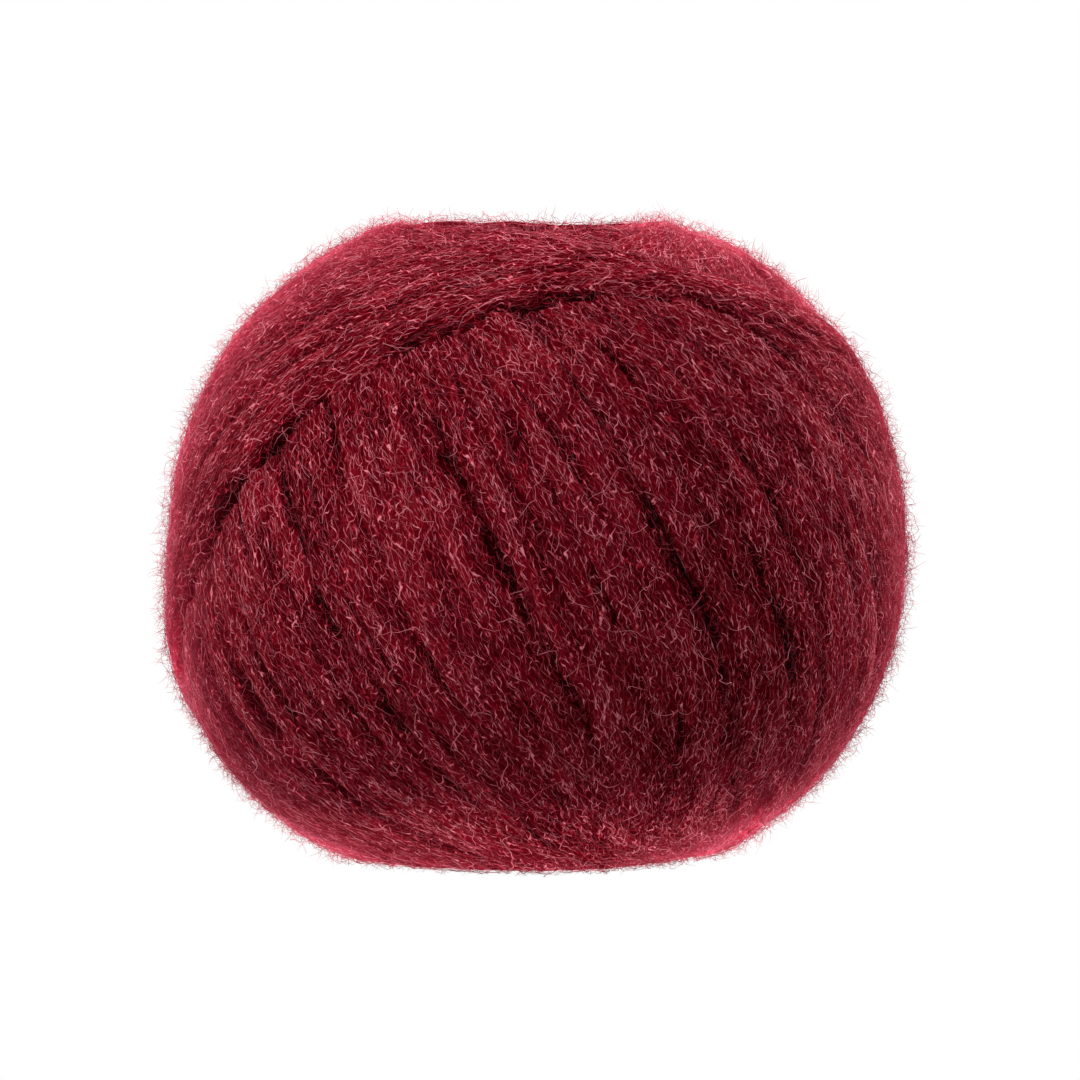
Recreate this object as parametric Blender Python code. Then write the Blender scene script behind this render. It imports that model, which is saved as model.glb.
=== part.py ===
"""A ball of brushed yarn, wound by machine and standing on one end.

Every turn of the yarn is a nearly flat ring round the middle of the ball, tilted from the
ball's equator. From turn to turn the tilt stays and the ring swings a little round the
upright axis, so a turn climbs one side of the ball and comes down the other, and neither
end is ever covered: each end is a shallow dish with the older, steeper turns showing in it.
The newest turns lie highest, and the last of them is the edge of a band that crosses the
turns below.

The solid is the ball's outer form with each turn raised on it. Metres, +Z up, the origin
in the middle of the flat that the ball stands on, and +X to the right of a viewer on the
-Y side.
"""

import math

import bmesh
import bpy
import numpy as np

# Driving sizes of the ball.
BALL_RADIUS = 0.0586  # from the axis to the crown of the outermost turn
BALL_HEIGHT = 0.1005  # from the flat to the top of the upper rim
UPRIGHT_STRETCH = 0.978  # the ball is a little lower than a round one, before it is set down

# The yarn, as it lies on the ball.
TURN_PITCH = 0.0063  # from one turn to the next, across them
TURN_HALF_WIDTH = 0.58 * TURN_PITCH  # neighbours press into each other
TURN_RELIEF = 0.0017  # from a turn's crown down to its half width
TURN_ROUNDNESS = 2.2  # the power of that fall: 2 is a round crown, more is a flatter one

# The outer winding, which covers the ball: one round of turns whose rims are level, and a
# few more that lean over the upper left shoulder.
WINDING_TILT = 62.0  # degrees from the equator to the plane of a newest level turn
LAST_RISE = 200.0  # the longitude, in degrees, at which the last turn climbs over the equator
LEANING_TURNS = 6
LAST_TILT = 52.0  # the last of them leans to this
SINK_PER_HALF_ROUND = 0.0014  # how far the turns of half a round bury the ones before them
UNEVEN_STEP = 0.25  # how far a turn strays from its place, as a share of the pitch
UNEVEN_TILT = 1.1  # degrees by which its plane strays
UNEVEN_CROWN = 0.00045  # how far it stands proud or lies low
UNEVEN_SEED = 11

# The older turns, which show only in the dishes at the two ends. Each lies a little higher
# and a little less steep than the one before it, far round the axis from it.
INNER_TURNS = 40
INNER_SWING = 137.5  # degrees round the axis from one to the next
INNER_TILTS = (84.0, 65.0)  # of the first and the last
INNER_CROWNS = (0.0425, 0.0560)
CORE_RADIUS = 0.0385

# Where the soft ball swells or is pressed in: a place, how far that reaches and how high it is.
SWELLINGS = (
    {"longitude": 195.0, "latitude": -33.0, "reach": 41.0, "height": 0.0044},  # low on the left
    {"longitude": 180.0, "latitude": 35.0, "reach": 42.0, "height": 0.0014},
    {"longitude": 350.0, "latitude": 46.0, "reach": 33.0, "height": 0.0025},
    {"longitude": 350.0, "latitude": -20.0, "reach": 28.0, "height": 0.0006},
    {"longitude": 325.0, "latitude": -56.0, "reach": 30.0, "height": -0.0022},  # low on the right
)

# Low on the right the turns hang straighter than flat rings would.
HANG_LONGITUDE = 308.0
HANG_REACH = 42.0
HANG_SWING = 13.0  # degrees that they are swung back towards the left
HANG_FROM, HANG_TO = -12.0, -52.0  # the latitudes between which that happens

SPHERE_SPLITS = 7  # splits of the starting icosphere, for the shape before it is thinned
SOFTENINGS = 2  # rounds of smoothing, each halfway to the neighbouring points
FACES = 9600  # triangles kept

YARN_RED = (0.16, 0.012, 0.022, 1.0)
YARN_ROUGHNESS = 0.95


def ease(share):
    """A smooth step from 0 to 1."""
    share = np.clip(share, 0.0, 1.0)
    return share * share * (3.0 - 2.0 * share)


def around(longitude, centre):
    """The signed difference between two longitudes, in degrees, the short way round."""
    return (longitude - centre + 180.0) % 360.0 - 180.0


def swing_of_one_turn():
    """Degrees round the axis from one turn to the next, for the pitch at the equator."""
    across = BALL_RADIUS * math.sin(math.radians(WINDING_TILT))
    return 360.0 / round(2 * math.pi * across / TURN_PITCH)


def ring_normal(rise, tilt):
    """The normal of the plane of a turn that climbs over the equator at the longitude rise."""
    rise, tilt = math.radians(rise), math.radians(tilt)
    return np.array(
        (
            math.sin(rise) * math.sin(tilt),
            -math.cos(rise) * math.sin(tilt),
            math.cos(tilt),
        )
    )


def outer_turns():
    """The outer winding, oldest turn first, as (plane normal, crown radius)."""
    uneven = np.random.default_rng(UNEVEN_SEED)
    swing = swing_of_one_turn()
    rim_height = BALL_RADIUS * math.sin(math.radians(WINDING_TILT))
    for age in range(round(360.0 / swing) + LEANING_TURNS - 1, -1, -1):
        stray, nod, proud = uneven.uniform(-1.0, 1.0, 3)
        crown = BALL_RADIUS - SINK_PER_HALF_ROUND * age * swing / 180.0
        level = math.degrees(math.asin(rim_height / crown))
        lean = ease(1.0 - age / LEANING_TURNS)
        tilt = level + (LAST_TILT - level) * lean + UNEVEN_TILT * nod
        rise = LAST_RISE - (age - UNEVEN_STEP * stray) * swing
        yield ring_normal(rise, tilt), crown + UNEVEN_CROWN * proud


def inner_turns():
    """The turns that show in the dishes, as (plane normal, crown radius)."""
    for i in range(INNER_TURNS):
        share = i / (INNER_TURNS - 1)
        tilt = INNER_TILTS[0] + (INNER_TILTS[1] - INNER_TILTS[0]) * share
        crown = INNER_CROWNS[0] + (INNER_CROWNS[1] - INNER_CROWNS[0]) * share
        yield ring_normal(INNER_SWING * i, tilt), crown


def hang_straighter(directions):
    """Swings the directions low on the right, so that the turns looked up there hang straighter."""
    longitude = np.degrees(np.arctan2(directions[:, 1], directions[:, 0]))
    latitude = np.degrees(np.arcsin(directions[:, 2]))
    near = 1.0 - np.abs(around(longitude, HANG_LONGITUDE)) / HANG_REACH
    low = (latitude - HANG_FROM) / (HANG_TO - HANG_FROM)
    longitude = np.radians(longitude + HANG_SWING * ease(near) * ease(low))
    flat = np.hypot(directions[:, 0], directions[:, 1])
    return np.column_stack(
        (flat * np.cos(longitude), flat * np.sin(longitude), directions[:, 2])
    )


def wound_radius(directions):
    """How far out the yarn reaches in each direction: the highest of all the turns there."""
    looked_up = hang_straighter(directions)
    radius = np.full(len(directions), CORE_RADIUS)
    for normal, crown in (*inner_turns(), *outer_turns()):
        across = np.abs(looked_up @ normal) * crown / TURN_HALF_WIDTH
        fall = np.where(
            across < 1.0,
            across**TURN_ROUNDNESS,
            1.0 + TURN_ROUNDNESS * (across - 1.0),
        )
        radius = np.maximum(radius, crown - TURN_RELIEF * fall)
    return radius


def swelling(directions):
    """What the soft ball's unevenness adds to the radius in each direction."""
    longitude = np.degrees(np.arctan2(directions[:, 1], directions[:, 0]))
    latitude = np.degrees(np.arcsin(directions[:, 2]))
    added = np.zeros(len(directions))
    for place in SWELLINGS:
        narrowed = around(longitude, place["longitude"]) * np.cos(np.radians(latitude))
        away = np.hypot(narrowed, latitude - place["latitude"])
        added += place["height"] * ease(1.0 - away / place["reach"])
    return added


def wound_ball():
    """The ball before it is set down: a fine icosphere pushed out to the wound yarn."""
    mesh = bpy.data.meshes.new("yarn_ball")
    shape = bmesh.new()
    bmesh.ops.create_icosphere(shape, subdivisions=SPHERE_SPLITS, radius=1.0)
    shape.to_mesh(mesh)
    shape.free()
    directions = np.empty(len(mesh.vertices) * 3, np.float32)
    mesh.vertices.foreach_get("co", directions)
    directions = directions.reshape(-1, 3).astype(np.float64)
    directions /= np.linalg.norm(directions, axis=1)[:, None]
    radius = wound_radius(directions) + swelling(directions)
    points = directions * radius[:, None] * (1.0, 1.0, UPRIGHT_STRETCH)
    points[:, 2] += BALL_HEIGHT - points[:, 2].max()
    mesh.vertices.foreach_set("co", points.astype(np.float32).ravel())
    mesh.update()
    return mesh


def thin_out(ball):
    """Softens the creases and keeps FACES triangles, long ones along the turns."""
    softer = ball.modifiers.new("softer", "SMOOTH")
    softer.factor = 0.5
    softer.iterations = SOFTENINGS
    thinner = ball.modifiers.new("thinner", "DECIMATE")
    thinner.ratio = FACES / len(ball.data.polygons)
    thinner.use_collapse_triangulate = True


def press_flat(ball):
    """Takes off what would lie below the surface that the ball stands on."""
    below = bpy.data.meshes.new("below")
    shape = bmesh.new()
    bmesh.ops.create_cube(shape, size=4 * BALL_RADIUS)
    bmesh.ops.translate(shape, verts=shape.verts, vec=(0.0, 0.0, -2 * BALL_RADIUS))
    shape.to_mesh(below)
    shape.free()
    cutter = bpy.data.objects.new("below_the_floor", below)
    cutter.hide_render = True
    cutter.display_type = "WIRE"
    bpy.context.scene.collection.objects.link(cutter)
    flat = ball.modifiers.new("flat", "BOOLEAN")
    flat.operation = "DIFFERENCE"
    flat.object = cutter


def brushed_yarn():
    """Dark red wool with no gloss."""
    material = bpy.data.materials.new("brushed_yarn")
    material.use_nodes = True
    shader = material.node_tree.nodes["Principled BSDF"]
    shader.inputs["Base Color"].default_value = YARN_RED
    shader.inputs["Roughness"].default_value = YARN_ROUGHNESS
    shader.inputs["Metallic"].default_value = 0.0
    return material


def main():
    for leftover in list(bpy.data.objects):
        bpy.data.objects.remove(leftover)
    ball = bpy.data.objects.new("yarn_ball", wound_ball())
    bpy.context.scene.collection.objects.link(ball)
    ball.data.materials.append(brushed_yarn())
    ball.data.shade_smooth()
    thin_out(ball)
    press_flat(ball)


main()
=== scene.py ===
# %% [markdown]
# # A ball of brushed yarn
#
# The object is one long thread of brushed wool, wound by machine into a ball that stands on
# its end. Two things make it look as it does. The thread's turns give the ball its form: they
# fall from upper left to lower right, and a newer band of them climbs over the upper left
# shoulder. The brushing gives it its surface: it has pulled thousands of fine fibres out of
# the thread, and they lie over the turns as a mat and stand out round the edge as a haze.
#
# So the lesson has two halves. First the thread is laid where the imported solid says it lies,
# as a swept section along a path. Then fibres are combed over it, each one a thin closed tube.
# Geometry Nodes do both, because both follow a rule and repeat thousands of times.

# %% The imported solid
import math

import bpy
import numpy as np
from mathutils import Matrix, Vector


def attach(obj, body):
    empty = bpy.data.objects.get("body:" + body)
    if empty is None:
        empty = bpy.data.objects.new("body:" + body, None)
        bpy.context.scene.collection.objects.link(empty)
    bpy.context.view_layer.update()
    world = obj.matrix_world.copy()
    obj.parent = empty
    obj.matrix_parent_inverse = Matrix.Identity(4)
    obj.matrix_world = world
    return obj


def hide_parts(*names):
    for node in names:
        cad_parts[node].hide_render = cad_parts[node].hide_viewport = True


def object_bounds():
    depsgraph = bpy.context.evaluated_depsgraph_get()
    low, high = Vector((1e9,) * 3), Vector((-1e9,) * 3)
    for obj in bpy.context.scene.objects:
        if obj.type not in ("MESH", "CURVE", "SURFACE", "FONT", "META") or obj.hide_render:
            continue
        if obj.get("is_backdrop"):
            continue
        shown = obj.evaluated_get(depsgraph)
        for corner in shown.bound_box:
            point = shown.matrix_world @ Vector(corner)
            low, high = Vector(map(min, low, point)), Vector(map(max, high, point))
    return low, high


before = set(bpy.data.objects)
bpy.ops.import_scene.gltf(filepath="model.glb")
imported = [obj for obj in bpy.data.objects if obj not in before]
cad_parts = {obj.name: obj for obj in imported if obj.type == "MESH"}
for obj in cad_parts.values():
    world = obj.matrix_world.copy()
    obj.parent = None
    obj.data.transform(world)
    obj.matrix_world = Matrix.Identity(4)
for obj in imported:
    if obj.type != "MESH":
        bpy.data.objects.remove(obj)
cad_low, cad_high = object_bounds()
print("the packed ball measures", [round(1000 * side, 1) for side in cad_high - cad_low], "mm")

# %% [markdown]
# ## Helpers for node trees
#
# A node tree built by hand in a script soon becomes a wall of links. A small class makes it
# read like a formula: each call adds a node, gives its inputs values or other nodes' outputs
# in their order, and returns the output that the next call needs.


# %% A bench for nodes
class Bench:
    """Adds nodes to one tree and joins them."""

    def __init__(self, tree):
        self.tree = tree

    def feed(self, socket, value):
        """Links an output to the socket, or gives it a plain value. None leaves it alone."""
        if isinstance(value, bpy.types.NodeSocket):
            self.tree.links.new(value, socket)
        elif value is not None:
            socket.default_value = value

    def node(self, kind, *values, **settings):
        """A new node with these settings, its inputs in use fed in order."""
        node = self.tree.nodes.new(kind)
        for name, value in settings.items():
            setattr(node, name, value)
        in_use = [socket for socket in node.inputs if socket.enabled]
        for socket, value in zip(in_use, values):
            self.feed(socket, value)
        return node

    def out(self, kind, *values, **settings):
        """The first output in use of such a node."""
        node = self.node(kind, *values, **settings)
        return next(socket for socket in node.outputs if socket.enabled)

    def maths(self, operation, *values):
        return self.out("ShaderNodeMath", *values, operation=operation)

    def vector(self, operation, *values):
        return self.out("ShaderNodeVectorMath", *values, operation=operation)

    def between(self, share, low, high):
        """The share from 0 to 1 turned into a number from low to high."""
        return self.out("ShaderNodeMapRange", share, 0.0, 1.0, low, high)

    def scaled(self, vector, size):
        return self.vector("SCALE", vector, size)

    def total(self, first, *others):
        """The sum of vectors."""
        for other in others:
            first = self.vector("ADD", first, other)
        return first


# %% Trees with named inputs, and pieces made by them
def new_tree(name, inputs):
    """A Geometry Nodes tree whose named inputs have these kinds: its bench and its inputs."""
    tree = bpy.data.node_groups.new(name, "GeometryNodeTree")
    for label, kind in {"Geometry": "Geometry", **inputs}.items():
        tree.interface.new_socket(label, in_out="INPUT", socket_type="NodeSocket" + kind)
    tree.interface.new_socket("Geometry", in_out="OUTPUT", socket_type="NodeSocketGeometry")
    bench = Bench(tree)
    return bench, bench.node("NodeGroupInput").outputs


def finish_tree(bench, geometry, material):
    """Ends a tree as the export needs it: real geometry, smooth, in its material."""
    smooth = bench.out("GeometryNodeSetShadeSmooth", geometry, None, True)
    real = bench.out("GeometryNodeRealizeInstances", smooth)
    bench.node("NodeGroupOutput", bench.out("GeometryNodeSetMaterial", real, None, material))


def made_by(tree, name, host, values):
    """A plain mesh object made by a tree on a host object, which is then removed."""
    bpy.context.scene.collection.objects.link(host)
    modifier = host.modifiers.new(name, "NODES")
    modifier.node_group = tree
    for item in tree.interface.items_tree:
        if item.in_out == "INPUT" and item.name in values:
            modifier[item.identifier] = values[item.name]
    seen = bpy.context.evaluated_depsgraph_get()
    mesh = bpy.data.meshes.new_from_object(
        host.evaluated_get(seen), preserve_all_data_layers=True, depsgraph=seen
    )
    bpy.data.objects.remove(host)
    mesh.name = name
    piece = bpy.data.objects.new(name, mesh)
    bpy.context.scene.collection.objects.link(piece)
    triangles = sum(len(face.vertices) - 2 for face in mesh.polygons)
    print(f"{name}: {triangles} triangles")
    return piece


# %% [markdown]
# ## The camera and the studio
#
# The ball was photographed almost from the side, from a little under four degrees above. A
# long lens far away keeps its outline round and shows no more of one side than of the other.

# %% Camera
LENS = 300.0  # millimetres, for a sensor 36 mm wide
SENSOR = 36.0
SHOWN_WIDTH = 0.1711  # of what stands at the ball's distance
CAMERA_RISE = 3.7  # degrees above the horizon
AIM = (0.0003, 0.0, 0.0505)


def towards(azimuth, elevation):
    """The direction seen from the ball towards a place round it, azimuth 0 in front."""
    azimuth, elevation = math.radians(azimuth), math.radians(elevation)
    return Vector(
        (
            math.sin(azimuth) * math.cos(elevation),
            -math.cos(azimuth) * math.cos(elevation),
            math.sin(elevation),
        )
    )


camera = bpy.data.objects.new("camera", bpy.data.cameras.new("camera"))
camera.data.lens = LENS
camera.data.sensor_width = SENSOR
back = towards(0.0, CAMERA_RISE)
camera.location = Vector(AIM) + back * (SHOWN_WIDTH * LENS / SENSOR)
camera.rotation_euler = (-back).to_track_quat("-Z", "Y").to_euler()
bpy.context.scene.collection.objects.link(camera)
bpy.context.scene.camera = camera
print("the camera stands", round(SHOWN_WIDTH * LENS / SENSOR, 2), "m away")

# %% [markdown]
# The ball stands on a plain pale floor, and everything round it is white. A floor could simply
# be lit until it looks white, but a white that is lit either falls short of paper white or
# passes it, and a haze of fine fibres drowns in what passes it. So the camera sees an exact
# white, and only the light that the floor throws back comes from its real, paler grey.

# %% Floor and white surroundings
FLOOR_SIZE = 12.0
FLOOR_WHITE = 0.35  # for the light that it throws back; the camera sees it plain white
SURROUNDINGS = 0.0  # how much light they give; the camera sees them white
PLAIN_WHITE = (1.0, 1.0, 1.0, 1.0)


def plain_material(name, colour, roughness):
    """A material with its Principled shader set, and the bench of its tree."""
    material = bpy.data.materials.new(name)
    material.use_nodes = True
    shader = material.node_tree.nodes["Principled BSDF"]
    shader.inputs["Base Color"].default_value = (*colour, 1.0)
    shader.inputs["Roughness"].default_value = roughness
    return material, shader, Bench(material.node_tree)


floor_mesh = bpy.data.meshes.new("floor")
reach = FLOOR_SIZE / 2
corners = [(-reach, -reach, 0), (reach, -reach, 0), (reach, reach, 0), (-reach, reach, 0)]
floor_mesh.from_pydata(corners, [], [(0, 1, 2, 3)])
floor = bpy.data.objects.new("floor", floor_mesh)
bpy.context.scene.collection.objects.link(floor)
floor_white, shader, bench = plain_material("floor_white", (FLOOR_WHITE,) * 3, 1.0)
shader.inputs["Specular IOR Level"].default_value = 0.0
seen_directly = bench.node("ShaderNodeLightPath").outputs["Is Camera Ray"]
plain_white = bench.out("ShaderNodeEmission", PLAIN_WHITE, 1.0)
as_seen = bench.out("ShaderNodeMixShader", seen_directly, shader.outputs[0], plain_white)
bench.feed(floor_white.node_tree.nodes["Material Output"].inputs["Surface"], as_seen)
floor_white.cycles.emission_sampling = "NONE"
floor_mesh.materials.append(floor_white)
floor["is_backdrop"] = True

world = bpy.data.worlds.new("surroundings")
world.use_nodes = True
bpy.context.scene.world = world
sky = Bench(world.node_tree)
seen_directly = sky.node("ShaderNodeLightPath").outputs["Is Camera Ray"]
background = world.node_tree.nodes["Background"]
background.inputs["Color"].default_value = PLAIN_WHITE
sky.feed(background.inputs["Strength"], sky.between(seen_directly, SURROUNDINGS, 1.0))
bpy.context.scene.view_settings.view_transform = "Standard"
print("a floor", FLOOR_SIZE, "m wide, and white all round")

# %% [markdown]
# The key light is a large soft box in front, high on the left. A weaker one low on the left and
# one overhead fill the shadows. Three more stand behind the ball and shine along its edge,
# where the pile is seen edge on, which together with the painted sheen in the wool is why the
# edge is paler than the middle. The last one is a small light table under the ball, for its
# lower edge. Soft boxes are area lights, because a small lamp would draw a hard edge between
# light and shade on a round thing.

# %% Lights
ZENITH = (0.0, 0.0, 1.0)
LIGHTS = (  # each a lamp's place, what it looks at, its size and its power
    {"name": "key", "place": (-0.60, -0.90, 0.88), "at": AIM, "size": 0.8, "watts": 12.6},
    {"name": "left", "place": (-1.15, -0.50, 0.15), "at": AIM, "size": 0.6, "watts": 5.2},
    {"name": "top", "place": (-0.10, -0.15, 1.25), "at": AIM, "size": 0.8, "watts": 6.8},
    {"name": "edge_left", "place": (-0.75, 0.45, 0.20), "at": AIM, "size": 0.6, "watts": 4.0},
    {"name": "edge_right", "place": (0.75, 0.45, 0.20), "at": AIM, "size": 0.6, "watts": 15.0},
    {"name": "edge_top", "place": (0.0, 0.55, 0.75), "at": AIM, "size": 0.6, "watts": 17.5},
    {"name": "table", "place": (0.0, 0.0, 0.0003), "at": ZENITH, "size": 0.10, "watts": 0.044},
)

for row in LIGHTS:
    lamp = bpy.data.lights.new(row["name"], "AREA")
    lamp.shape = "DISK"
    lamp.size = row["size"]
    lamp.energy = row["watts"]
    holder = bpy.data.objects.new(row["name"], lamp)
    holder.location = row["place"]
    shines = Vector(row["at"]) - Vector(row["place"])
    holder.rotation_euler = shines.to_track_quat("-Z", "Y").to_euler()
    bpy.context.scene.collection.objects.link(holder)
print(len(LIGHTS), "lights over a white floor")

# %% [markdown]
# ## How the ball is wound
#
# A winding machine tilts the ball and turns it while it lays the thread round and round. Each
# turn is a nearly flat ring round the ball's middle, tilted from its equator, and each lies a
# little further round the upright axis than the one before. A turn so climbs one side of the
# ball and comes down the other, and it never covers the two ends, where a dish is left.
#
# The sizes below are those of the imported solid, in metres and degrees. Two more are the
# thread's own: how deep its pile is, and how far its newest turns stand proud. A turn is three
# numbers: the longitude at which it climbs over the equator, its tilt and its crown's height.

# %% Sizes of the ball and of its thread
BALL_RADIUS = 0.0586  # from the axis to the crown of the outermost turn
BALL_HEIGHT = 0.1005
UPRIGHT_STRETCH = 0.978
PILE_DEPTH = 0.0005  # the brushed pile, which lies on the thread and fills up to the solid
TURN_PITCH = 0.0063

WINDING_TILT = 62.0  # from the equator to the plane of a newest level turn
LAST_RISE = 200.0  # the longitude at which the last turn climbs over the equator
LEANING_TURNS = 6  # the newest ones, which lean over the upper left shoulder
LAST_TILT = 52.0
BAND_PROUD = 0.0002  # how far the newest, leaning turns stand proud of the rest
SINK_PER_HALF_ROUND = 0.0014  # how far the turns of half a round bury the ones before them
UNEVEN_STEP = 0.25  # how far a turn strays from its place, as a share of the pitch
UNEVEN_TILT = 1.1
UNEVEN_CROWN = 0.00045
UNEVEN_SEED = 11

INNER_TURNS = 40
INNER_SWING = 137.5  # round the axis from one to the next
INNER_TILTS = (84.0, 65.0)  # of the first and the last
INNER_CROWNS = (0.0425, 0.0560)

# Where the soft ball swells or is pressed in, and where its turns hang straighter.
SWELLINGS = (
    {"longitude": 195.0, "latitude": -33.0, "reach": 41.0, "height": 0.0044},
    {"longitude": 180.0, "latitude": 35.0, "reach": 42.0, "height": 0.0014},
    {"longitude": 350.0, "latitude": 46.0, "reach": 33.0, "height": 0.0025},
    {"longitude": 350.0, "latitude": -20.0, "reach": 28.0, "height": 0.0006},
    {"longitude": 325.0, "latitude": -56.0, "reach": 30.0, "height": -0.0022},
)
HANG_LONGITUDE = 308.0
HANG_REACH = 42.0
HANG_SWING = 13.0
HANG_FROM, HANG_TO = -12.0, -52.0
print("ball:", round(2000 * BALL_RADIUS, 1), "mm across; turns:", 1000 * TURN_PITCH, "mm apart")


# %% The turns, as rise, tilt and crown
def ease(share):
    """A smooth step from 0 to 1."""
    share = np.clip(share, 0.0, 1.0)
    return share * share * (3.0 - 2.0 * share)


def around(longitude, centre):
    """The signed difference between two longitudes, in degrees, the short way round."""
    return (longitude - centre + 180.0) % 360.0 - 180.0


def outer_turns():
    """The outer winding, oldest turn first."""
    uneven = np.random.default_rng(UNEVEN_SEED)
    across = BALL_RADIUS * math.sin(math.radians(WINDING_TILT))
    swing = 360.0 / round(2 * math.pi * across / TURN_PITCH)
    turns = []
    for age in range(round(360.0 / swing) + LEANING_TURNS - 1, -1, -1):
        stray, nod, proud = uneven.uniform(-1.0, 1.0, 3)
        crown = BALL_RADIUS - SINK_PER_HALF_ROUND * age * swing / 180.0
        level = math.degrees(math.asin(across / crown))
        lean = ease(1.0 - age / LEANING_TURNS)
        tilt = level + (LAST_TILT - level) * lean + UNEVEN_TILT * nod
        rise = LAST_RISE - (age - UNEVEN_STEP * stray) * swing
        turns.append((rise, tilt, crown + UNEVEN_CROWN * proud))
    return np.array(turns)


def inner_turns():
    """The older turns, which show only in the dishes."""
    share = np.linspace(0.0, 1.0, INNER_TURNS)
    tilt = INNER_TILTS[0] + (INNER_TILTS[1] - INNER_TILTS[0]) * share
    crown = INNER_CROWNS[0] + (INNER_CROWNS[1] - INNER_CROWNS[0]) * share
    return np.column_stack((INNER_SWING * np.arange(INNER_TURNS), tilt, crown))


OUTER = outer_turns()
OUTER[-LEANING_TURNS:, 2] += BAND_PROUD * np.linspace(0.0, 1.0, LEANING_TURNS)
INNER = inner_turns()
print(len(OUTER), "outer turns and", len(INNER), "inner ones")

# %% [markdown]
# ## The path of the thread
#
# The outer winding is one unbroken thread. Where a turn ends, low under the ball, the thread
# steps over to the next ring, half before the lowest point and half after it, so no step shows
# from the side. The inner turns are plain closed rings. Each point is then moved as the solid's
# surface is: hung a little straighter low on the right, pushed out where the ball swells, and
# drawn up with the whole ball.

# %% Points on a turn
THREAD_HALF_WIDTH = 0.0049
THREAD_HALF_HEIGHT = 0.0022
STEPS_PER_TURN = 96
INNER_STEPS = 44
STEP_OVER = 0.10  # the share of a turn over which it goes half way to the next
HANG_ROUNDS = 8  # each comes nearer to the longitude that the solid looks up


def directions_on(turns, angle):
    """Where points at these angles along these turns lie, seen from the ball's middle."""
    rise, tilt = np.radians(turns[:, 0]), np.radians(turns[:, 1])
    out, up = np.cos(np.radians(angle)), np.sin(np.radians(angle))
    return np.column_stack(
        (
            out * np.cos(rise) - up * np.sin(rise) * np.cos(tilt),
            out * np.sin(rise) + up * np.cos(rise) * np.cos(tilt),
            up * np.sin(tilt),
        )
    )


def hung(directions):
    """The directions swung back to the left where the turns hang straighter."""
    ring_longitude = np.degrees(np.arctan2(directions[:, 1], directions[:, 0]))
    latitude = np.degrees(np.arcsin(directions[:, 2]))
    low = ease((latitude - HANG_FROM) / (HANG_TO - HANG_FROM))
    longitude = ring_longitude
    for _ in range(HANG_ROUNDS):
        near = ease(1.0 - np.abs(around(longitude, HANG_LONGITUDE)) / HANG_REACH)
        longitude = ring_longitude - HANG_SWING * near * low
    flat = np.hypot(directions[:, 0], directions[:, 1])
    longitude = np.radians(longitude)
    return np.column_stack((flat * np.cos(longitude), flat * np.sin(longitude), directions[:, 2]))


def swelling(directions):
    """What the soft ball's unevenness adds to the radius."""
    longitude = np.degrees(np.arctan2(directions[:, 1], directions[:, 0]))
    latitude = np.degrees(np.arcsin(directions[:, 2]))
    added = np.zeros(len(directions))
    for place in SWELLINGS:
        narrowed = around(longitude, place["longitude"]) * np.cos(np.radians(latitude))
        away = np.hypot(narrowed, latitude - place["latitude"])
        added += place["height"] * ease(1.0 - away / place["reach"])
    return added


def laid(turns, angle, depth):
    """Points at a depth under the crowns, before the ball is set down."""
    directions = hung(directions_on(turns, angle))
    radius = turns[:, 2] + swelling(directions) - PILE_DEPTH - depth
    return directions * radius[:, None] * (1.0, 1.0, UPRIGHT_STRETCH)


# %% The whole thread
def outer_thread(depth):
    """Points along the outer winding, from its oldest turn to its newest."""
    share = np.arange(STEPS_PER_TURN) / STEPS_PER_TURN
    to_next = 0.5 * ease((share - 1.0 + STEP_OVER) / STEP_OVER)[:, None]
    to_last = 0.5 * ease(1.0 - share / STEP_OVER)[:, None]
    stretches = []
    for i, turn in enumerate(OUTER):
        after, before = OUTER[min(i + 1, len(OUTER) - 1)], OUTER[max(i - 1, 0)]
        turns = turn + (after - turn) * to_next + (before - turn) * to_last
        stretches.append(laid(turns, 360.0 * share - 90.0, depth))
    return np.concatenate(stretches)


def inner_ring(turn, depth):
    """Points round one of the inner turns."""
    angle = 360.0 * np.arange(INNER_STEPS) / INNER_STEPS
    return laid(np.tile(turn, (INNER_STEPS, 1)), angle, depth)


set_down = BALL_HEIGHT - outer_thread(-PILE_DEPTH)[:, 2].max()
BALL_CENTRE = (0.0, 0.0, float(set_down))
thread_length = np.linalg.norm(np.diff(outer_thread(THREAD_HALF_HEIGHT), axis=0), axis=1).sum()
print("the outer winding takes", round(float(thread_length), 1), "m of thread")

# %% The path as a curve object
path = bpy.data.curves.new("thread_path", "CURVE")
path.dimensions = "3D"
for points, closed in (
    (outer_thread(THREAD_HALF_HEIGHT), False),
    *((inner_ring(turn, THREAD_HALF_HEIGHT), True) for turn in INNER),
):
    spline = path.splines.new("POLY")
    spline.points.add(len(points) - 1)
    placed = np.column_stack((points + BALL_CENTRE, np.ones(len(points))))
    spline.points.foreach_set("co", placed.astype(np.float32).ravel())
    spline.use_cyclic_u = closed
print(len(path.splines), "splines in the path")

# %% [markdown]
# ## The yarn's colours
#
# Brushed wool has hardly any gloss. Its colour changes along the thread, from a clear dark
# red to almost black, in streaks a couple of centimetres long, and painted shade makes it
# darkest in the grooves between the turns. Single fibres are far paler than the rest. Light
# also passes through loose fibres, so each material mixes a little Translucent into its
# Principled shader.
#
# One scale of shades serves everything, from 0, almost black, to 1, the palest pink fibre.
# The thread works its shade out in the shader, and each fibre carries its own.

# %% The scale of shades
SHADES = (
    (0.00, (0.012, 0.0004, 0.0008)),
    (0.20, (0.060, 0.0008, 0.0028)),
    (0.40, (0.160, 0.0025, 0.0085)),
    (0.60, (0.300, 0.0110, 0.0250)),
    (0.80, (0.470, 0.0550, 0.0820)),
    (1.00, (0.820, 0.2900, 0.3500)),
)


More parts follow.
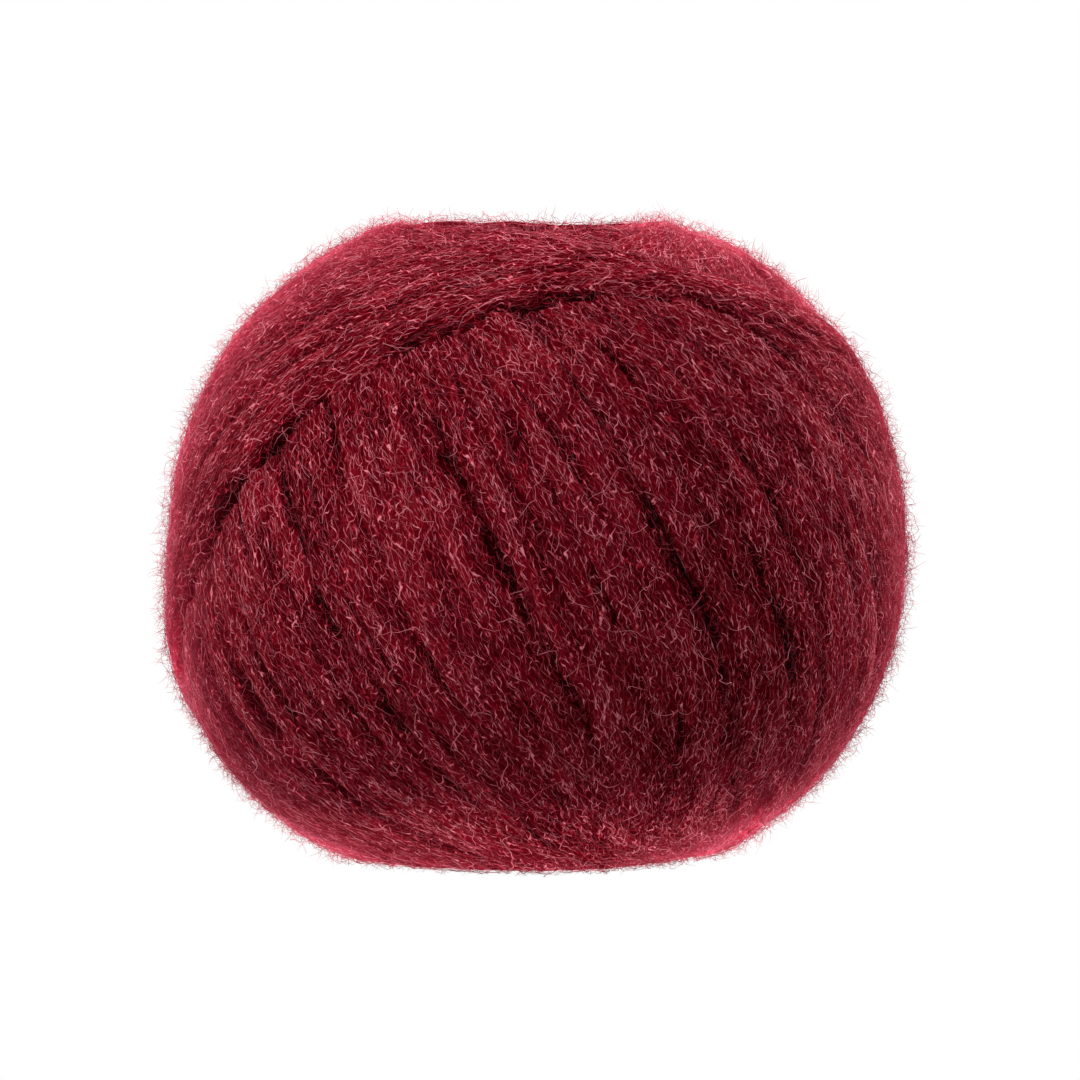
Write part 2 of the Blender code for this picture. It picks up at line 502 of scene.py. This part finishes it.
def shade_colour(bench, shade):
    """The colour of a shade."""
    ramp = bench.node("ShaderNodeValToRGB", shade)
    elements = ramp.color_ramp.elements
    while len(elements) < len(SHADES):
        elements.new(1.0)
    for element, (place, colour) in zip(elements, SHADES):
        element.position = place
        element.color = (*colour, 1.0)
    return ramp.outputs["Color"]


print(len(SHADES), "shades from almost black to pale pink")

# %% [markdown]
# The yarn keeps its own coordinates: how far along the thread a place lies, how far across it
# and how far out of it. Noise stretched along the first of them gives streaks and patches that
# follow the turns round the ball, which noise in the ball's own space would never do. The
# grooves between turns are the low places, and painted shade darkens them there, broken up by
# one more noise so that it comes and goes along them.

# %% Streaks, patches and painted shade in the grooves
STREAK_SCALE = (42.0, 230.0, 230.0)  # per metre, along, across and out of the thread
STREAK_STRENGTH = 0.5
PATCH_SCALE = (80.0, 200.0, 200.0)
PATCH_STRENGTH = 0.6
SPOT_NOISE = (1.0, 2.0, 0.55, 2.0, 0.6)  # scale, detail, roughness, lacunarity, distortion
GROOVE_SHADE_HEIGHTS = (0.0006, 0.0019)  # above the thread's middle, from darkest to not darker
GROOVE_SHADE_STRENGTH = 0.8
GROOVE_SHADE_BREAK_SCALE = 110.0  # per metre
GROOVE_SHADE_BREAK_RANGE = (0.42, 0.60)


def tone_and_groove_shade(bench, thread_space):
    """How much lighter or darker the yarn is at a place in the thread, its painted groove shade
    included.
    """
    height = bench.node("ShaderNodeSeparateXYZ", thread_space).outputs["Z"]
    # painted shade: the yarn is made darker low in the grooves between turns, where shade falls,
    # and a noise breaks it up
    groove_shade = bench.out("ShaderNodeMapRange", height, *GROOVE_SHADE_HEIGHTS, -GROOVE_SHADE_STRENGTH, 0.0)
    gap = bench.out("ShaderNodeTexNoise", thread_space, GROOVE_SHADE_BREAK_SCALE, 1.0)
    gap = bench.out("ShaderNodeMapRange", gap, *GROOVE_SHADE_BREAK_RANGE, 0.0, 1.0)
    tone_and_shade = bench.maths("MULTIPLY", groove_shade, gap)
    for scale, strength in ((STREAK_SCALE, STREAK_STRENGTH), (PATCH_SCALE, PATCH_STRENGTH)):
        stretched = bench.vector("MULTIPLY", thread_space, scale)
        spots = bench.out("ShaderNodeTexNoise", stretched, *SPOT_NOISE)
        tone_and_shade = bench.maths("MULTIPLY_ADD", bench.maths("SUBTRACT", spots, 0.5), strength, tone_and_shade)
    return tone_and_shade


# %% [markdown]
# Where the pile is seen edge on, light catches on its tips, as on velvet. Principled has a
# sheen for this. Here the sheen is painted instead: a second, rough Diffuse in a paler colour,
# which can follow the shade, because wool's bloom is paler on pale fibres. Layer Weight finds
# where the pile is seen edge on, and the painted sheen takes over there. It is given the pile's
# own direction, not the surface's, so a whole edge blooms evenly. Only loose fibres also glint
# a little.

# %% Wool
SHEEN_DEEP = (0.70, 0.032, 0.078, 1.0)  # for the lowest shades
SHEEN_PALE = (1.0, 0.300, 0.420, 1.0)  # for the palest
SHEEN_POWER = 6.0  # how closely the sheen keeps to where the pile is seen edge on
SHEEN_LATE = 1.5  # how late the sheen pales as the shade rises
EVEN_FACING = 0.5  # the Layer Weight blend that gives one less the cosine
GLOSS_TINT = (1.0, 0.36, 0.44, 1.0)


def woolly(name, gloss, roughness, let_through):
    """A wool material, its bench, its main shader and a function that dyes it and its painted
    sheen.
    """
    material, shader, bench = plain_material(name, SHADES[2][1], 1.0)
    shader.inputs["Specular IOR Level"].default_value = 0.0
    through = bench.node("ShaderNodeBsdfTranslucent")
    own_face = bench.node("ShaderNodeNewGeometry").outputs["True Normal"]
    bench.feed(through.inputs["Normal"], own_face)
    mixed = bench.out("ShaderNodeMixShader", let_through, shader.outputs[0], through.outputs[0])
    if gloss > 0.0:
        shiny = bench.out("ShaderNodeBsdfAnisotropic", GLOSS_TINT, roughness)
        mixed = bench.out("ShaderNodeMixShader", gloss, mixed, shiny)
    pile_up = bench.node("ShaderNodeAttribute", attribute_name="up").outputs["Vector"]
    edge_on = bench.node("ShaderNodeLayerWeight", EVEN_FACING, pile_up).outputs["Facing"]
    # painted sheen: a paler diffuse colour takes over where the pile is seen edge on
    painted_sheen_share = bench.maths("POWER", edge_on, SHEEN_POWER)
    sheen_diffuse = bench.node("ShaderNodeBsdfDiffuse", None, 1.0)
    mixed = bench.out("ShaderNodeMixShader", painted_sheen_share, mixed, sheen_diffuse.outputs[0])
    bench.feed(material.node_tree.nodes["Material Output"].inputs["Surface"], mixed)

    def dye_and_sheen(shade):
        colour = shade_colour(bench, shade)
        bench.feed(shader.inputs["Base Color"], colour)
        bench.feed(through.inputs["Color"], colour)
        shade = bench.out("ShaderNodeClamp", shade, 0.0, 1.0)
        pale_share = bench.maths("POWER", shade, SHEEN_LATE)
        sheen_colour = bench.out("ShaderNodeMix", pale_share, SHEEN_DEEP, SHEEN_PALE, data_type="RGBA")
        bench.feed(sheen_diffuse.inputs["Color"], sheen_colour)

    return material, bench, shader, dye_and_sheen


# %% [markdown]
# The thread's own surface is a mat too fine for geometry: fibres a tenth of a millimetre
# thick that curl over one another, most of them along the thread. A wave texture draws even
# stripes, and its distortion bends them until they wander like hairs. Only the crests are
# kept, so each stripe becomes one thin curled line. Four such layers lie over each other, each
# turned by its own angle, and a finer noise paints a glint on every line here and lets it fade
# there. The same pattern, painted glints and all, raises the bump.

# %% The thread's matted surface
MAT_LAYERS = (  # how far apart hairs lie and their bends come, and their angle to the thread
    {"gap": 0.00085, "bend": 0.0028, "angle": 0.06, "from": 0.0},
    {"gap": 0.00100, "bend": 0.0022, "angle": -0.22, "from": 3.0},
    {"gap": 0.00120, "bend": 0.0018, "angle": 0.42, "from": 6.0},
    {"gap": 0.00150, "bend": 0.0015, "angle": -0.75, "from": 9.0},
)
WAVE_UNIT = 2 * math.pi / 20.0  # from one wave to the next, in the texture's own coordinates
BEND_SCALE = 3.0  # of the noise that bends the waves
BEND_STRENGTH = 4.4
HAIR_CREST = 0.94  # how high on a wave its hair begins
HAIR_PAINTED_GLINT_SCALE = 700.0  # per metre
HAIR_PAINTED_GLINT = (0.38, 0.70, 0.04, 1.0)  # noise where a hair is faintest and brightest, and how much


def mat_fibres(bench, thread_space):
    """A pattern of curled hairs, up to 1 on a hair and 0 between."""
    pattern = None
    for layer in MAT_LAYERS:
        place = bench.out(
            "ShaderNodeVectorRotate",
            thread_space,
            (0.0, 0.0, 0.0),
            (0.0, 0.0, 1.0),
            layer["angle"],
        )
        across = WAVE_UNIT / layer["gap"]
        scale = (1.0 / (BEND_SCALE * layer["bend"]), across, across)
        place = bench.vector("MULTIPLY_ADD", place, scale, (layer["from"],) * 3)
        waves = bench.node(
            "ShaderNodeTexWave", place, 1.0, BEND_STRENGTH, 1.0, BEND_SCALE, bands_direction="Y"
        ).outputs["Fac"]
        hair = bench.out("ShaderNodeMapRange", waves, HAIR_CREST, 1.0, 0.0, 1.0)
        # painted glint: a noise makes each hair brighter here and fainter there
        painted_glint = bench.vector("ADD", thread_space, (layer["from"],) * 3)
        painted_glint = bench.out("ShaderNodeTexNoise", painted_glint, HAIR_PAINTED_GLINT_SCALE, 1.0)
        painted_glint = bench.out("ShaderNodeMapRange", painted_glint, *HAIR_PAINTED_GLINT)
        hair = bench.maths("MULTIPLY", hair, painted_glint)
        pattern = hair if pattern is None else bench.maths("MAXIMUM", pattern, hair)
    return pattern


# %% The thread's material
MAT_SHADE = 0.25
MAT_PALEST = 0.50  # between the hairs
MAT_STRENGTH = 0.95
HAIR_PALEST = 0.95
MAT_BUMP = 0.00012

matted_thread, bench, shader, dye_and_sheen = woolly(
    "matted_thread", gloss=0.0, roughness=1.0, let_through=0.1
)
thread_space = bench.node("ShaderNodeAttribute", attribute_name="thread_space").outputs["Vector"]
mat = mat_fibres(bench, thread_space)
shade = bench.maths("ADD", MAT_SHADE, tone_and_groove_shade(bench, thread_space))
shade = bench.maths("MINIMUM", shade, MAT_PALEST)
shade = bench.maths("MULTIPLY_ADD", mat, MAT_STRENGTH, shade)
dye_and_sheen(bench.maths("MINIMUM", shade, HAIR_PALEST))
bump = bench.node("ShaderNodeBump")
bump.inputs["Distance"].default_value = MAT_BUMP
bench.feed(bump.inputs["Height"], mat)
bench.feed(shader.inputs["Normal"], bump.outputs["Normal"])
print(matted_thread.name, "has", len(bench.tree.nodes), "nodes")

# %% [markdown]
# A loose fibre is too thin to show a pattern across it. What the eye sees is that each has its
# own shade, that its tip is paler than its root, and that it glints where it happens to turn to
# the light. The fibre carries the first two as attributes. The glint is painted: a noise read at
# the fibre's shade and at the place along it makes it paler or darker, so it differs from fibre
# to fibre and stays put.

# %% The loose fibres' material
TIP_PALER = 0.17
PAINTED_GLINT_SPREAD = (300.0, 2.5)  # noise cells from the darkest fibre to the palest, and along one
PAINTED_GLINT_STRENGTH = 1.1

loose_fibre, bench, shader, dye_and_sheen = woolly(
    "loose_fibre", gloss=0.06, roughness=0.35, let_through=0.30
)
shade = bench.node("ShaderNodeAttribute", attribute_name="shade").outputs["Fac"]
tip = bench.node("ShaderNodeAttribute", attribute_name="tip").outputs["Fac"]
place = bench.out(
    "ShaderNodeCombineXYZ",
    bench.maths("MULTIPLY", shade, PAINTED_GLINT_SPREAD[0]),
    bench.maths("MULTIPLY", tip, PAINTED_GLINT_SPREAD[1]),
    0.0,
)
# painted glint: a noise along each fibre makes it paler or darker
painted_glint = bench.maths("SUBTRACT", bench.out("ShaderNodeTexNoise", place, 1.0, 1.0), 0.5)
shade = bench.maths("MULTIPLY_ADD", painted_glint, PAINTED_GLINT_STRENGTH, shade)
dye_and_sheen(bench.maths("MULTIPLY_ADD", tip, TIP_PALER, shade))
print(loose_fibre.name, "has", len(bench.tree.nodes), "nodes")

# %% [markdown]
# ## The thread
#
# A round section is swept along the path and then pressed to an oval, because each turn is
# squeezed between its neighbours: every point is split into how far it lies out of the ball and
# how far across the thread, and the two are scaled apart. The thickness also swells and
# shrinks along the thread. Low down the yarn is pressed flat, and it lies on its own pile a
# little off the floor. A curve's own bevel would give the same round section everywhere, so
# Geometry Nodes do it, and keep the yarn's own coordinates on it for its material.

# %% The tree that lays the thread, and its inputs
bench, given = new_tree(
    "lay_thread",
    {
        "Ball Centre": "Vector",
        "Half Width": "Float",
        "Half Height": "Float",
        "Sides": "Int",
        "Lumpiness": "Float",
        "Material": "Material",
    },
)


def stored(bench, geometry, name, value, data_type="FLOAT_VECTOR", domain="POINT"):
    """The geometry with the value kept on it under a name."""
    return bench.out(
        "GeometryNodeStoreNamedAttribute",
        geometry,
        None,
        name,
        value,
        data_type=data_type,
        domain=domain,
    )


def kept(bench, name, data_type="FLOAT_VECTOR"):
    """A value that was kept under a name."""
    return bench.out("GeometryNodeInputNamedAttribute", name, data_type=data_type)


# %% A round section swept along the path
curve = stored(bench, given["Geometry"], "heart", bench.out("GeometryNodeInputPosition"))
curve = stored(bench, curve, "along", bench.out("GeometryNodeInputTangent"))
run = bench.node("GeometryNodeSplineParameter").outputs["Length"]
curve = stored(bench, curve, "run", run, "FLOAT")
section = bench.out("GeometryNodeCurvePrimitiveCircle", given["Sides"], given["Half Width"])
tube = bench.out("GeometryNodeCurveToMesh", curve, section, None, True)

# %% The section pressed to an oval
LUMP_SCALE = 110.0  # per metre
PILE_UNDER = 0.0006  # the pressed thread stands this far off the floor, on its own pile

heart, along = kept(bench, "heart"), kept(bench, "along")
outward = bench.vector("NORMALIZE", bench.vector("SUBTRACT", heart, given["Ball Centre"]))
sideways = bench.vector("NORMALIZE", bench.vector("CROSS_PRODUCT", along, outward))
offset = bench.vector("SUBTRACT", bench.out("GeometryNodeInputPosition"), heart)
lumps = bench.out("ShaderNodeTexNoise", heart, LUMP_SCALE, 1.0)
lumps = bench.maths("SUBTRACT", lumps, 0.5)
swell = bench.maths("MULTIPLY_ADD", lumps, given["Lumpiness"], 1.0)
flatness = bench.maths("DIVIDE", given["Half Height"], given["Half Width"])
across = bench.maths("MULTIPLY", bench.vector("DOT_PRODUCT", offset, sideways), swell)
height = bench.maths("MULTIPLY", bench.vector("DOT_PRODUCT", offset, outward), swell)
height = bench.maths("MULTIPLY", height, flatness)
pressed = bench.total(heart, bench.scaled(sideways, across), bench.scaled(outward, height))
parts = bench.node("ShaderNodeSeparateXYZ", pressed).outputs
above_floor = bench.maths("MAXIMUM", parts["Z"], PILE_UNDER)
standing = bench.out("ShaderNodeCombineXYZ", parts["X"], parts["Y"], above_floor)
own_space = bench.out("ShaderNodeCombineXYZ", kept(bench, "run", "FLOAT"), across, height)
tube = stored(bench, tube, "thread_space", own_space)
tube = stored(bench, tube, "up", outward)
tube = bench.out("GeometryNodeSetPosition", tube, None, standing)
finish_tree(bench, tube, given["Material"])
print("the thread's tree has", len(bench.tree.nodes), "nodes")

# %% The thread itself
THREAD_SIDES = 8
THREAD_LUMPINESS = 0.35

thread = made_by(
    bench.tree,
    "wound_thread",
    bpy.data.objects.new("thread_path", path),
    {
        "Ball Centre": BALL_CENTRE,
        "Half Width": THREAD_HALF_WIDTH,
        "Half Height": THREAD_HALF_HEIGHT,
        "Sides": THREAD_SIDES,
        "Lumpiness": THREAD_LUMPINESS,
        "Material": matted_thread,
    },
)

# %% [markdown]
# ## Fibres combed over the thread
#
# One tree makes every kind of fibre. Blender's hair would be quicker to comb, but a hair is
# no mesh, and each fibre here has to be a closed tube that can leave the file. A three-sided
# section is the thinnest closed tube, so it costs least.

# %% The tree that combs fibres, and its inputs
bench, given = new_tree(
    "comb_fibres",
    {
        "Yarn": "Object",
        "Ball Centre": "Vector",
        "Count": "Int",
        "Points": "Int",
        "Length": "Float",
        "Uneven Length": "Float",
        "Thickness": "Float",
        "Anchor": "Float",
        "Height": "Float",
        "Hump": "Float",
        "Rise": "Float",
        "Uneven Rise": "Float",
        "Stray": "Float",
        "Curl": "Float",
        "Curl Scale": "Float",
        "Drape": "Float",
        "Shade": "Float",
        "Uneven Shade": "Float",
        "Tone": "Float",
        "Pile Normal": "Float",
        "Seed": "Int",
        "Material": "Material",
    },
)


# %% Chance, and rays down to the yarn
RAY_START = 0.09  # from the ball's middle, well outside it
RAY_LENGTH = 1.0
MOST_DRAWS = 100
seeds = iter(range(MOST_DRAWS))


def chance(bench, low, high):
    """A random number for each element, from low to high, different at each call."""
    seed = bench.maths("ADD", given["Seed"], next(seeds))
    return bench.out("FunctionNodeRandomValue", low, high, None, seed, data_type="FLOAT")


def uneven(bench, middle, spread):
    """A random number within the spread of the middle."""
    return bench.maths("MULTIPLY_ADD", spread, chance(bench, -1.0, 1.0), middle)


yarn = bench.node("GeometryNodeObjectInfo", given["Yarn"]).outputs["Geometry"]


def ray(bench, where, what):
    """A ray to the ball's middle from far out over a place, reading what the yarn keeps."""
    out = bench.vector("NORMALIZE", bench.vector("SUBTRACT", where, given["Ball Centre"]))
    start = bench.total(given["Ball Centre"], bench.scaled(out, RAY_START))
    back = bench.scaled(out, -1.0)
    return bench.node(
        "GeometryNodeRaycast", yarn, what, start, back, RAY_LENGTH, data_type="FLOAT_VECTOR"
    ).outputs


# %% [markdown]
# The roots have to lie evenly over the whole ball. Points scattered over the thread's own mesh
# would crowd where turns overlap and sit on buried yarn. So they start on a sphere outside the
# ball, along a spiral whose turns are a golden angle apart, which spaces them evenly, and each
# sends a ray to the ball's middle. The ray finds the yarn that lies outermost there, which way
# it runs and its own coordinates.

# %% Where the fibres have their roots
GOLDEN_ANGLE = math.pi * (3.0 - math.sqrt(5.0))
OFF_THE_SPIRAL = 0.02  # radians by which a root strays

index = bench.out("GeometryNodeInputIndex")
place = bench.maths("DIVIDE", bench.maths("ADD", index, chance(bench, 0.0, 1.0)), given["Count"])
upright = bench.maths("MULTIPLY_ADD", place, -2.0, 1.0)
down = bench.maths("MULTIPLY", upright, -1.0)
ring = bench.maths("SQRT", bench.maths("MULTIPLY_ADD", upright, down, 1.0))
strayed = chance(bench, -OFF_THE_SPIRAL, OFF_THE_SPIRAL)
turned = bench.maths("MULTIPLY_ADD", index, GOLDEN_ANGLE, strayed)
spread = bench.out(
    "ShaderNodeCombineXYZ",
    bench.maths("MULTIPLY", ring, bench.maths("COSINE", turned)),
    bench.maths("MULTIPLY", ring, bench.maths("SINE", turned)),
    upright,
)
start = bench.total(given["Ball Centre"], bench.scaled(spread, RAY_START))
roots = bench.out("GeometryNodePoints", given["Count"], start)
here = bench.out("GeometryNodeInputPosition")
found = ray(bench, here, kept(bench, "along"))
roots = stored(bench, roots, "root", found["Hit Position"])
roots = stored(bench, roots, "facing", found["Hit Normal"])
roots = stored(bench, roots, "lay", found["Attribute"])
found = ray(bench, here, kept(bench, "thread_space"))
roots = stored(bench, roots, "root_space", found["Attribute"])
print("roots:", len(bench.tree.nodes), "nodes so far")

# %% [markdown]
# Each root now gets its fibre's own facts: which way it goes, how long it is, how steeply it
# rises, which curl it follows and its shade. A brushed fibre lies more or less along the yarn
# that it came from, either way round, so its way is the yarn's, turned by a chance angle. Its
# shade starts from the yarn's own below it, so dark streaks stay dark under their fibres, and a
# fibre rooted in a groove takes the groove's painted shade.

# %% What each fibre is like
PALEST_TONE = 0.04  # a fibre over dark yarn is darker, but one over pale yarn is hardly paler
CURL_KINDS = 50.0  # how far apart in the curl's noise two fibres may be

root = kept(bench, "root")
out = bench.vector("NORMALIZE", bench.vector("SUBTRACT", root, given["Ball Centre"]))
up = bench.vector("NORMALIZE", bench.total(out, kept(bench, "facing")))
other_way = bench.maths("MULTIPLY", bench.maths("ROUND", chance(bench, 0.0, 1.0)), math.pi)
lay = bench.out(
    "ShaderNodeVectorRotate",
    kept(bench, "lay"),
    (0.0, 0.0, 0.0),
    up,
    uneven(bench, other_way, given["Stray"]),
)
length = bench.maths("MULTIPLY", given["Length"], uneven(bench, 1.0, given["Uneven Length"]))
# the fibre takes the yarn's tone below it, the painted groove shade included
tone_and_shade = bench.maths("MULTIPLY", tone_and_groove_shade(bench, kept(bench, "root_space")), given["Tone"])
tone_and_shade = bench.maths("MINIMUM", tone_and_shade, PALEST_TONE)
shade = bench.maths("ADD", tone_and_shade, uneven(bench, given["Shade"], given["Uneven Shade"]))
roots = stored(bench, roots, "up", up)
roots = stored(bench, roots, "reach", bench.scaled(lay, length))
roots = stored(bench, roots, "rise", uneven(bench, given["Rise"], given["Uneven Rise"]), "FLOAT")
roots = stored(bench, roots, "own_curl", chance(bench, 0.0, CURL_KINDS), "FLOAT")
roots = stored(bench, roots, "shade", bench.out("ShaderNodeClamp", shade, 0.0, 1.0), "FLOAT")
print("what each fibre is like:", len(bench.tree.nodes), "nodes so far")

# %% [markdown]
# A short line stands on each root, and its points are moved to where the fibre goes: along its
# way, round a curl that a noise gives, and part of the way back down onto the yarn, which a
# second ray finds again, so that a long fibre follows the ball. A hump lifts its middle, and a
# fibre that would pass through the floor is bent up from it.

# %% The fibres' points
CURL_RISE = 0.5  # how much of the curl's height is kept
ANY_LENGTH = 0.001  # every point of the line is moved, so its own length is of no account

line = bench.out("GeometryNodeCurvePrimitiveLine", (0.0, 0.0, 0.0), (0.0, 0.0, ANY_LENGTH))
line = bench.out("GeometryNodeResampleCurve", line, None, given["Points"])
fibres = bench.out("GeometryNodeInstanceOnPoints", roots, None, line)
fibres = bench.out("GeometryNodeRealizeInstances", fibres)
share = bench.node("GeometryNodeSplineParameter").outputs["Factor"]
run = bench.maths("SUBTRACT", share, given["Anchor"])
rise, up, reach = kept(bench, "rise", "FLOAT"), kept(bench, "up"), kept(bench, "reach")
level_run = bench.maths("MULTIPLY", run, bench.maths("COSINE", rise))
along = bench.total(kept(bench, "root"), bench.scaled(reach, level_run))
curl = bench.node(
    "ShaderNodeTexNoise",
    along,
    kept(bench, "own_curl", "FLOAT"),
    given["Curl Scale"],
    1.0,
    noise_dimensions="4D",
).outputs["Color"]
curl = bench.scaled(bench.vector("SUBTRACT", curl, (0.5, 0.5, 0.5)), given["Curl"])
curl_up = bench.vector("DOT_PRODUCT", curl, up)
along = bench.total(along, curl, bench.scaled(up, bench.maths("MULTIPLY", curl_up, -1.0)))
below = ray(bench, along, up)["Hit Position"]
along = bench.out("ShaderNodeMix", given["Drape"], along, below, data_type="VECTOR")
from_half = bench.maths("ABSOLUTE", bench.maths("MULTIPLY_ADD", share, 2.0, -1.0))
hump = bench.maths("SUBTRACT", 1.0, bench.maths("MULTIPLY", from_half, from_half))
steep_run = bench.maths("MULTIPLY", run, bench.maths("SINE", rise))
lift = bench.maths("MULTIPLY", bench.vector("LENGTH", reach), steep_run)
lift = bench.maths("ADD", lift, bench.maths("MULTIPLY_ADD", hump, given["Hump"], given["Height"]))
lift = bench.maths("MULTIPLY_ADD", curl_up, CURL_RISE, lift)
parts = bench.node("ShaderNodeSeparateXYZ", bench.total(along, bench.scaled(up, lift))).outputs
bent_up = bench.maths("ABSOLUTE", parts["Z"])
above_floor = bench.maths("MAXIMUM", bent_up, given["Thickness"])
place = bench.out("ShaderNodeCombineXYZ", parts["X"], parts["Y"], above_floor)
fibres = bench.out("GeometryNodeSetPosition", fibres, None, place)
fibres = stored(bench, fibres, "tip", share, "FLOAT")
print("the fibres' points:", len(bench.tree.nodes), "nodes so far")

# %% [markdown]
# A closed tube runs along each line, thinner towards both ends. Its normals lean from the
# tube's own towards the pile's, because a tube three sides round would otherwise flicker from
# light to dark. A fibre's colour hangs on its shade and on the place along it alone, so those
# two numbers also make its UV map, and a small picture of colours is enough for all of them.

# %% A closed tube along each line
TUBE_SIDES = 3
TAPER = -0.7  # how much thinner a fibre is at its ends than in its middle
TAPER_LATE = 4.0  # how close to the ends it thins
SHADES_ON_MAP = 0.98  # the width of the UV map that the shades take
SLIVER = 0.006  # and how far fibres of one shade are spread there

taper = bench.maths("MULTIPLY_ADD", bench.maths("POWER", from_half, TAPER_LATE), TAPER, 1.0)
section = bench.out("GeometryNodeCurvePrimitiveCircle", TUBE_SIDES, given["Thickness"])
tubes = bench.out("GeometryNodeCurveToMesh", fibres, section, taper, True)
sliver = chance(bench, 0.0, SLIVER)
bake_place = bench.out(
    "ShaderNodeCombineXYZ",
    bench.maths("MULTIPLY_ADD", kept(bench, "shade", "FLOAT"), SHADES_ON_MAP, sliver),
    kept(bench, "tip", "FLOAT"),
    0.0,
)
tubes = stored(bench, tubes, "OFBake", bake_place, "FLOAT2", "CORNER")
own_normal = bench.out("GeometryNodeInputNormal")
pile_normal = bench.out(
    "ShaderNodeMix", given["Pile Normal"], own_normal, kept(bench, "up"), data_type="VECTOR"
)
tubes = bench.out(
    "GeometryNodeSetMeshNormal",
    bench.out("GeometryNodeSetShadeSmooth", tubes, None, True),
    bench.vector("NORMALIZE", pile_normal),
    mode="FREE",
    domain="POINT",
)
finish_tree(bench, tubes, given["Material"])
comb_fibres = bench.tree
print("the whole comb:", len(comb_fibres.nodes), "nodes")

# %% [markdown]
# Three kinds of fibre make the pile. Matted fibres lie along the yarn and give it its grain.
# Standing fibres, many, short and finer, rise from it at all angles and make the haze round
# the edge. A few hundred long pale ones stray in wide curls over everything, and they are what
# the eye picks out first. Each kind is one set of sizes for the comb, in metres and radians.

# %% The kinds of fibre
SEED_STEP = 1000  # more than the draws of one piece, so no two pieces share a seed
KINDS = (
    {
        "name": "matted_fibres", "pieces": 2, "count": 6500, "Points": 5,
        "Length": 0.0038, "Uneven Length": 0.5, "Thickness": 0.00005, "Anchor": 0.5,
        "Height": -0.0001, "Hump": 0.0005, "Rise": 0.0, "Uneven Rise": 0.15, "Stray": 0.42,
        "Curl": 0.0042, "Curl Scale": 600.0, "Drape": 0.8,
        "Shade": 0.50, "Uneven Shade": 0.30, "Tone": 0.8, "Pile Normal": 0.35,
    },
    {
        "name": "standing_fibres", "pieces": 3, "count": 11000, "Points": 3,
        "Length": 0.0022, "Uneven Length": 0.6, "Thickness": 0.000032, "Anchor": 0.1,
        "Height": 0.0, "Hump": 0.0003, "Rise": 0.75, "Uneven Rise": 0.6, "Stray": 1.6,
        "Curl": 0.0085, "Curl Scale": 450.0, "Drape": 0.3,
        "Shade": 0.44, "Uneven Shade": 0.25, "Tone": 0.5, "Pile Normal": 0.2,
    },
    {
        "name": "stray_fibres", "pieces": 1, "count": 700, "Points": 16,
        "Length": 0.0080, "Uneven Length": 0.6, "Thickness": 0.00004, "Anchor": 0.5,
        "Height": 0.0005, "Hump": 0.0008, "Rise": 0.0, "Uneven Rise": 0.06, "Stray": 1.2,
        "Curl": 0.0090, "Curl Scale": 330.0, "Drape": 0.3,
        "Shade": 0.84, "Uneven Shade": 0.12, "Tone": 0.2, "Pile Normal": 0.0,
    },
)

# %% The fibres themselves
fibres = []
for kind in KINDS:
    for i in range(kind["pieces"]):
        sizes = {name: value for name, value in kind.items() if name[0].isupper()}
        fibres.append(
            made_by(
                comb_fibres,
                f"{kind['name']}_{i + 1}",
                bpy.data.objects.new("host", bpy.data.meshes.new("host")),
                {
                    **sizes,
                    "Yarn": thread,
                    "Ball Centre": BALL_CENTRE,
                    "Count": kind["count"],
                    "Seed": SEED_STEP * (len(fibres) + 1),
                    "Material": loose_fibre,
                },
            )
        )

# %% [markdown]
# ## The pieces on the ball's body
#
# Every piece rides on the ball's one body, and the thread stands for the imported solid.

# %% Pieces, bodies and sizes
for piece in (thread, *fibres):
    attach(piece, "root")
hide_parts("yarn_ball")

low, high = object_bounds()
sizes = {"cad": [list(cad_low), list(cad_high)], "visual": [list(low), list(high)]}
print("the dressed ball measures", [round(1000 * side, 1) for side in high - low], "mm")
